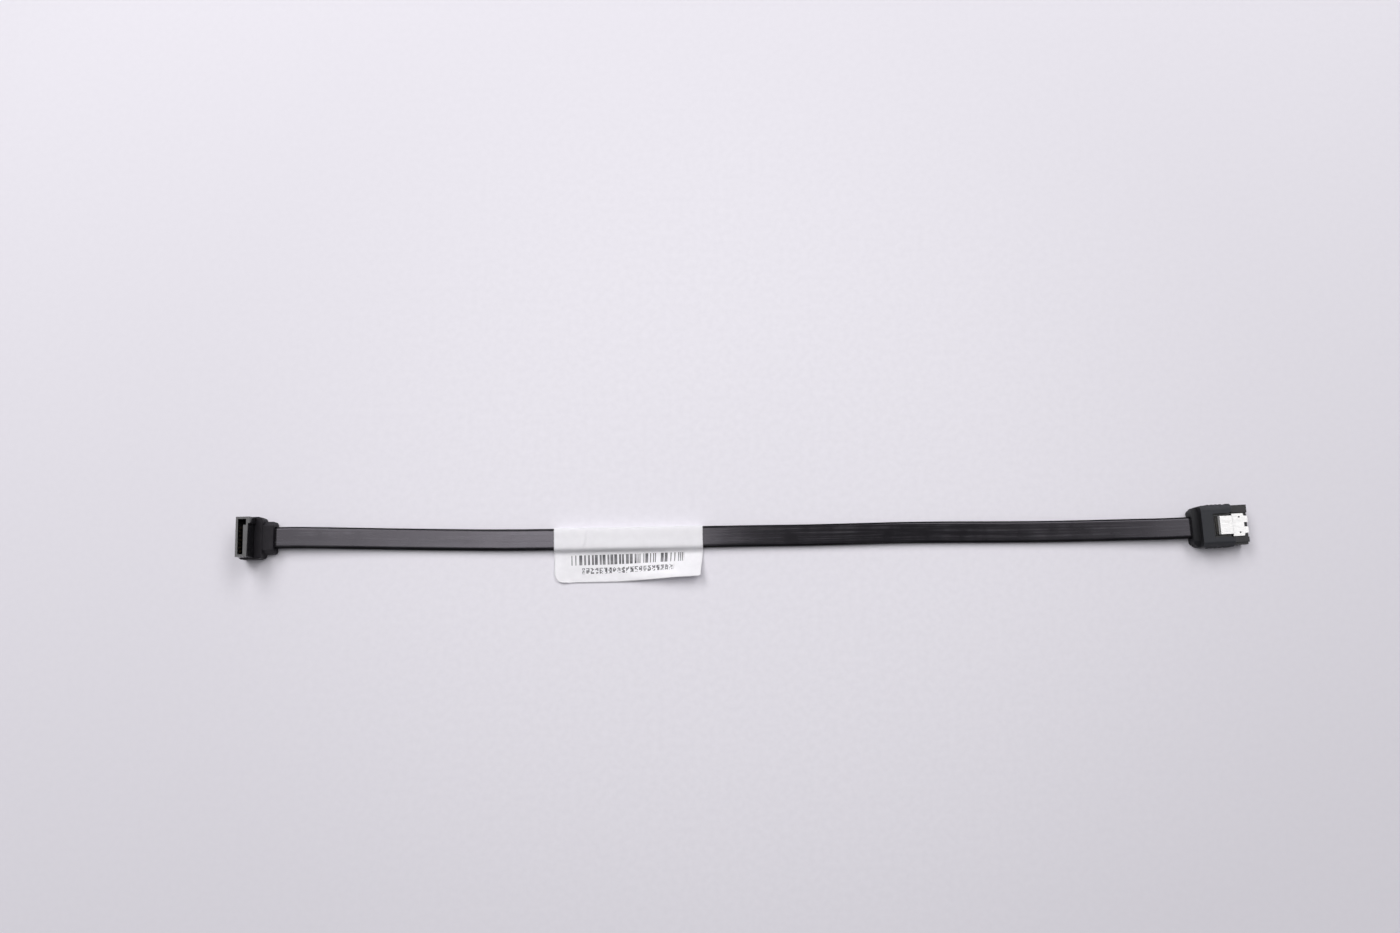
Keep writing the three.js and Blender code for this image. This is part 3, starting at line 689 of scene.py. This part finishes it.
def rolled_steel():
    material, shader = new_material("rolled_steel", STEEL_COLOR, 0.28, 1.0)
    spot = place_on_object(material, ROLLED_STRETCH, -STRAIGHT_TURN)
    lines = noise_of(material, spot, 9000, 2)
    stains = noise_of(material, place_on_object(material), 500, 3)
    link(material, calc(material, "MULTIPLY_ADD", lines, 0.16, 0.2), shader, "Roughness")
    link(material, mix_colors(material, stains, BRIGHT_STEEL, STAINED_STEEL), shader, "Base Color")
    bump(material, shader, lines, 0.002 * MM)
    return material


def plated(name, color, worn):
    """A thin bright coat on metal, which varies from the one colour to its worn one."""
    material, shader = new_material(name, color, 0.25, 1.0)
    spot = place_on_object(material)
    wear = noise_of(material, spot, 1800, 3)
    link(material, mix_colors(material, wear, (*color, 1), (*worn, 1)), shader, "Base Color")
    link(material, calc(material, "MULTIPLY_ADD", wear, 0.15, 0.2), shader, "Roughness")
    return material


steel_material = rolled_steel()
gold_material = plated("gold_plate", (0.62, 0.43, 0.17), (0.5, 0.34, 0.13))
tin_material = plated("tinned_copper", (0.68, 0.66, 0.62), (0.6, 0.5, 0.42))
print("metals made:", steel_material.name, gold_material.name, tin_material.name)


# %% Inner plastics
def natural_plastic(name, color, darker):
    """Milky plastic without dye, which lets a little light into it."""
    material, shader = new_material(name, color, 0.5)
    shader.inputs["Subsurface Weight"].default_value = 0.15
    shader.inputs["Subsurface Radius"].default_value = (0.6 * MM, 0.5 * MM, 0.4 * MM)
    spot = place_on_object(material)
    clouds = noise_of(material, spot, 900, 3)
    link(material, mix_colors(material, clouds, (*color, 1), (*darker, 1)), shader, "Base Color")
    link(material, calc(material, "MULTIPLY_ADD", clouds, 0.15, 0.42), shader, "Roughness")
    bump(material, shader, clouds, 0.01 * MM)
    return material


mould_material = natural_plastic("natural_mould", (0.6, 0.57, 0.49), (0.5, 0.47, 0.38))
skin_material = natural_plastic("wire_skin", (0.7, 0.66, 0.58), (0.6, 0.56, 0.47))
print("inner plastics made:", mould_material.name, skin_material.name)

# %% [markdown]
# A moulded or stamped edge is never a knife edge: its small round catches a line of light, and that
# line is most of what tells the eye that it is real. The solids have sharp edges, so each visible
# one is copied, its triangles are merged to whole faces, and its edges are bevelled, the long
# moulded edges by more than the small ones. Weighted normals keep the flat faces flat. Each connector
# has its own axes: X runs outward from where the cable enters it, Y across it and Z up.

# %% Helpers for the hard pieces
SHARP_EDGE = math.radians(25)
SMOOTH_EDGE = math.radians(38)


def at_connector(exit_point, turn):
    """The place of a connector's own axes in the scene."""
    return Matrix.Translation(Vector(exit_point) * MM) @ Matrix.Rotation(turn, 4, "Z")


def merged_copy(node, place):
    """A node's mesh with its triangles merged to whole faces, in the connector's own axes."""
    bm = bmesh.new()
    bm.from_mesh(nodes[node].data)
    bmesh.ops.transform(bm, matrix=place.inverted(), verts=bm.verts)
    bmesh.ops.remove_doubles(bm, verts=bm.verts, dist=0.002 * MM)
    bmesh.ops.dissolve_limit(bm, angle_limit=math.radians(1), verts=bm.verts, edges=bm.edges)
    return bm


def edges_where(bm, wanted):
    """Sharp edges for which wanted is true. It gets an edge's middle and its run, in millimetres."""
    found = []
    for edge in bm.edges:
        if edge.is_manifold and edge.calc_face_angle() > SHARP_EDGE:
            at = (edge.verts[0].co + edge.verts[1].co) / 2 / MM
            run = (edge.verts[1].co - edge.verts[0].co) / MM
            if wanted(at, run):
                found.append(edge)
    return found


def round_off(bm, edges, width, segments=3):
    """Bevels the edges to small rounds, this wide."""
    bmesh.ops.bevel(
        bm, geom=edges, offset=width, offset_type="OFFSET", segments=segments, profile=0.5,
        affect="EDGES", clamp_overlap=True, material=-1,
    )


def finish_hard(name, bm, place, material, body, slot, node):
    """The rounded copy goes back to its place in the scene and becomes a piece for its node."""
    bmesh.ops.transform(bm, matrix=place, verts=bm.verts)
    for face in bm.faces:
        face.smooth = True
    for edge in bm.edges:
        edge.smooth = not edge.is_manifold or edge.calc_face_angle() < SMOOTH_EDGE
    piece = add_piece(name, bm, material, body, slot, node)
    solid_normals = piece.data.attributes.get("custom_normal")
    if solid_normals:
        piece.data.attributes.remove(solid_normals)
    flat = piece.modifiers.new("flat_faces", "WEIGHTED_NORMAL")
    flat.keep_sharp = True
    return piece


# %% [markdown]
# The straight connector lies flat, with its latch in a recess on top. Its cover's two long upper edges
# are rounder than the rest. The recess and the strain relief lie in their own shade, so their faces get
# painted shade: the darker mix of the vinyl, as the cover's second material, which makes them darker
# than the block.

# %% Straight connector
STRAIGHT_PLACE = at_connector((146.4, 1.42, 0), STRAIGHT_TURN)
COVER_TOP = 6.6
COVER_END = 12.5
HOUSING_SHOWS = 12.6
RELIEF_END = 3.2
RECESS_START = 6.0
RECESS_HALF_WIDE = 3.9
RECESS_FLOOR = 4.8


def gets_painted_shade(at):
    """True for a spot of the cover that gets painted shade: one in its recess or on its strain relief.
    """
    over_recess = at.x > RECESS_START and abs(at.y) < RECESS_HALF_WIDE
    return at.x < RELIEF_END or (over_recess and RECESS_FLOOR < at.z < COVER_TOP)


def straight_cover():
    bm = merged_copy("straight_overmould", STRAIGHT_PLACE)
    tops = edges_where(bm, lambda at, run: at.z > COVER_TOP and abs(run.x) > 4 and abs(at.y) > 5)
    round_off(bm, tops, 0.5 * MM, 5)
    outer = edges_where(bm, lambda at, run: at.x < COVER_END and abs(at.y) > 4.7 and run.length > 0.9)
    round_off(bm, outer, 0.1 * MM)
    # Faces in the recess and on the strain relief take the second material, which is painted shade.
    for face in bm.faces:
        face.material_index = int(gets_painted_shade(face.calc_center_median() / MM))
    cover = finish_hard(
        "straight_cover", bm, STRAIGHT_PLACE, straight_vinyl,
        "cable_body", "overmould", "straight_overmould",
    )
    cover.data.materials.append(painted_shade_vinyl)


def straight_shell():
    bm = merged_copy("straight_housing", STRAIGHT_PLACE)
    outer = edges_where(bm, lambda at, run: at.x > HOUSING_SHOWS and run.length > 0.55)
    round_off(bm, outer, 0.14 * MM)
    finish_hard(
        "straight_shell", bm, STRAIGHT_PLACE, straight_gloss,
        "cable_body", "housing", "straight_housing",
    )


straight_cover()
straight_shell()


# %% Latch
def latch_strip():
    """Its bends across the strip are rounded more than the stamped rims."""
    bm = merged_copy("latch_spring", STRAIGHT_PLACE)
    bends = edges_where(bm, lambda at, run: abs(run.y) > 3 and at.x < 12.9)
    round_off(bm, bends, 0.14 * MM, 4)
    rims = edges_where(bm, lambda at, run: run.length > 0.3)
    round_off(bm, rims, 0.05 * MM, 2)
    finish_hard(
        "latch_strip", bm, STRAIGHT_PLACE, steel_material,
        "latch", "latch_steel", "latch_spring",
    )


latch_strip()

# %% [markdown]
# The right-angle connector stands with its slot up, so the camera looks into it. A real slot widens
# towards its mouth, to lead the plug in, and that leaves a thin rim. Here the mouth's corners are
# pushed outward before the edges are rounded: at both ends of the slot, and on its far side.

# %% Right-angle connector
ANGLED_PLACE = at_connector((-153.4, -1.95, 0), math.radians(181.5))
ABOVE_BLOCK = 5.3
RIM_HIGH = 10.7
SLOT_END = 5.3
SLOT_FAR_SIDE = 8.85
LEAD_IN = 0.4 * MM


def is_near(value, wanted):
    """True within a twentieth of a millimetre."""
    return abs(value - wanted) < 0.05


def angled_cover():
    bm = merged_copy("angled_overmould", ANGLED_PLACE)
    tops = edges_where(bm, lambda at, run: at.z > 4.4 and run.length > 2 and at.x < 5.9)
    round_off(bm, tops, 0.3 * MM, 4)
    rest = edges_where(bm, lambda at, run: run.length > 0.6)
    round_off(bm, rest, 0.12 * MM)
    finish_hard(
        "angled_cover", bm, ANGLED_PLACE, angled_vinyl,
        "cable_body", "overmould", "angled_overmould",
    )


def widen_mouth(bm):
    """Pushes the upper corners of the slot outward, so that its walls slant."""
    for vert in bm.verts:
        at = vert.co / MM
        if at.z > RIM_HIGH and is_near(abs(at.y), SLOT_END):
            vert.co.y += math.copysign(LEAD_IN, at.y)
            vert.co.x += LEAD_IN if is_near(at.x, SLOT_FAR_SIDE) else 0


def angled_shell():
    bm = merged_copy("angled_housing", ANGLED_PLACE)
    widen_mouth(bm)
    back = edges_where(bm, lambda at, run: at.z > RIM_HIGH and at.x < 6.2 and abs(run.y) > 8)
    round_off(bm, back, 0.25 * MM)
    outer = edges_where(bm, lambda at, run: at.z > ABOVE_BLOCK and run.length > 0.55)
    round_off(bm, outer, 0.1 * MM)
    finish_hard(
        "angled_shell", bm, ANGLED_PLACE, angled_gloss,
        "cable_body", "housing", "angled_housing",
    )


angled_cover()
angled_shell()

# %% [markdown]
# The contacts, the wire ends and the inner moulds keep the solids' own shapes, because they are small
# and true. They only need their finish, and it goes on each node by the slot that the record names.

# %% Inner pieces
INNER_FINISHES = {
    "contact_metal": gold_material,
    "ground_copper": tin_material,
    "signal_skin": skin_material,
    "inner_mould": mould_material,
}
dressed = 0
for subpart in frame["record"]["subparts"]:
    if subpart["material_slot"] in INNER_FINISHES:
        node = nodes[subpart["node"]]
        node.data.materials.clear()
        node.data.materials.append(INNER_FINISHES[subpart["material_slot"]])
        dressed += 1
print("inner pieces dressed:", dressed)

# %% [markdown]
# The table is plain and pale. Its colour is painted palest round its middle and darker towards its
# corners: a painted pool of light.
# Close to the part it is an ordinary dull surface that takes the part's shadow. The lamps don't reach
# far from it, so there the camera and the reflections see an even pale tone instead, and low views
# from the side still stand against a pale ground.

# %% Table
TABLE_RADIUS = 4.0
TABLE_DROP = 0.05 * MM
TABLE_COLOR = (0.8, 0.785, 0.835, 1)
# Painted light: the paler colour of the table's middle, and the distances over which it fades.
PAINTED_LIGHT_COLOR = (0.87, 0.855, 0.905, 1)
SPECKLE_COLOR = (0.76, 0.745, 0.795, 1)
PALE_TONE = (0.74, 0.725, 0.77, 1)
PAINTED_LIGHT_FADES = (0.05, 0.21)
LIT_TABLE_ENDS = (0.28, 0.46)


def looked_at(material):
    """1 for what the camera, a mirror or a glass looks at, and 0 for light that only bounces."""
    rays = add(material, "ShaderNodeLightPath", {})
    seen = calc(material, "MAXIMUM", rays["Is Camera Ray"], rays["Is Glossy Ray"])
    return calc(material, "MAXIMUM", seen, rays["Is Transmission Ray"])


def table_surface():
    material, shader = new_material("table_surface", TABLE_COLOR[:3], 0.85)
    shader.inputs["Specular IOR Level"].default_value = 0.2
    spot = add(material, "ShaderNodeTexCoord", {})["Object"]
    speckle = noise_of(material, spot, 500, 3)
    distance = add(material, "ShaderNodeVectorMath", {0: spot}, operation="LENGTH")["Value"]
    # A painted pool of light: the table's colour is paler round the middle.
    outward = spread(material, distance, PAINTED_LIGHT_FADES, interpolation_type="SMOOTHSTEP")
    painted_pool_of_light = mix_colors(material, outward, PAINTED_LIGHT_COLOR, TABLE_COLOR)
    speckled = calc(material, "MULTIPLY", speckle, 0.3)
    link(material, mix_colors(material, speckled, painted_pool_of_light, SPECKLE_COLOR), shader, "Base Color")
    far = spread(material, distance, LIT_TABLE_ENDS, interpolation_type="SMOOTHSTEP")
    glow = add(material, "ShaderNodeEmission", {"Color": PALE_TONE})["Emission"]
    share = calc(material, "MULTIPLY", far, looked_at(material))
    surface = add(material, "ShaderNodeMixShader", {0: share, 1: shader.outputs[0], 2: glow})[0]
    output = material.node_tree.nodes["Material Output"]
    material.node_tree.links.new(surface, output.inputs["Surface"])
    return material


def pale_table():
    bm = bmesh.new()
    bmesh.ops.create_circle(bm, cap_ends=True, segments=96, radius=TABLE_RADIUS)
    bmesh.ops.translate(bm, verts=bm.verts, vec=(0, 0, -TABLE_DROP))
    mesh = bpy.data.meshes.new("table")
    bm.to_mesh(mesh)
    bm.free()
    mesh.materials.append(table_surface())
    table = bpy.data.objects.new("table", mesh)
    scene.collection.objects.link(table)


pale_table()
print("table radius:", TABLE_RADIUS, "m")

# %% [markdown]
# The photo was lit by soft lamps overhead. Their reflections tell where they hang: the cable's flat
# top is grey over its left half, brightest by the label, dark right of its middle and grey again near
# its right end. So three lamps hang in a row over it, with a gap between two of them. The shadows fall
# towards the camera, so most of the light comes from two larger and brighter lamps further back, one
# out to either side.

# %% Lamps
LAMP_HIGH = 1.0
LAMP_TONE = (1.0, 0.985, 1.0)
NEAR_ROW = 0.195
NEAR_DEEP = 0.45
BACK_ROW = 0.98
BACK_SIZE = (0.6, 1.1)


def soft_lamp(name, place, size, glow):
    """A rectangle of light that faces down. Its watts are four times its area times its brightness."""
    data = bpy.data.lights.new(name, "AREA")
    data.shape = "RECTANGLE"
    data.size, data.size_y = size
    data.energy = 4 * size[0] * size[1] * glow
    data.color = LAMP_TONE
    lamp = bpy.data.objects.new(name, data)
    lamp.location = (*place, LAMP_HIGH)
    scene.collection.objects.link(lamp)


soft_lamp("middle_lamp", (-0.165, NEAR_ROW), (0.33, NEAR_DEEP), 3.4)
soft_lamp("left_lamp", (-0.54, NEAR_ROW), (0.42, NEAR_DEEP), 1.5)
soft_lamp("right_lamp", (0.66, NEAR_ROW), (0.48, NEAR_DEEP), 1.25)
soft_lamp("back_left_lamp", (-0.65, BACK_ROW), BACK_SIZE, 4.8)
soft_lamp("back_right_lamp", (0.55, BACK_ROW), BACK_SIZE, 3.5)

# %% [markdown]
# A dim room fills in the shadows. Its horizon is as pale as the far table, but only what looks at it
# or mirrors it sees that, so the horizon lights nothing. A render shows its colours plainly, with the
# standard view transform.

# %% Room
ROOM_TONE = (0.15, 0.15, 0.155, 1)
HORIZON_FADES = (0.1, 0.3)


def dim_room():
    world = bpy.data.worlds.new("dim_room")
    scene.world = world
    world.use_nodes = True
    background = world.node_tree.nodes["Background"]
    direction = add(world, "ShaderNodeTexCoord", {})["Generated"]
    height = add(world, "ShaderNodeSeparateXYZ", {0: direction})["Z"]
    low = spread(world, height, HORIZON_FADES, (1.0, 0.0), interpolation_type="SMOOTHSTEP")
    pale = calc(world, "MULTIPLY", low, looked_at(world))
    link(world, mix_colors(world, pale, ROOM_TONE, PALE_TONE), background, "Color")


dim_room()
scene.view_settings.view_transform = "Standard"
print("room:", scene.world.name, "seen with the view transform", scene.view_settings.view_transform)
